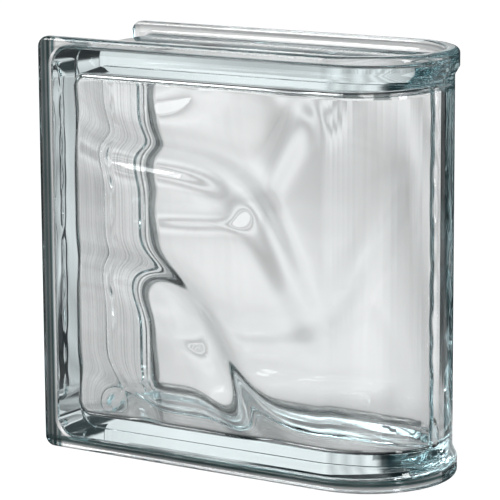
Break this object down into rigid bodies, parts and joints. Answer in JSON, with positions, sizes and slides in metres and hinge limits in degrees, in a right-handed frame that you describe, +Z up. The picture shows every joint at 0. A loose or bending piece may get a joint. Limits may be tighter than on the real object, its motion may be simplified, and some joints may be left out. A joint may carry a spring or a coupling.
{
  "type": "glass block with a rounded end",
  "caption": "Square hollow glass block for the free end of a wall: wavy clear faces, mortar channels on three sides and a closed, fully rounded fourth side.",
  "frame": {"origin": "middle of the underside, at the bottom centre of the bounding box", "axes": "+X towards the rounded end, -Y out of the front face, +Z up"},
  "size_m": [0.19, 0.08, 0.19],
  "materials": {
    "clear_glass": "clear pressed glass, fire polished, faint blue-green tint at the edges"
  },
  "bodies": {
    "root": {"glass_block": "clear_glass"}
  },
  "joints": []
}
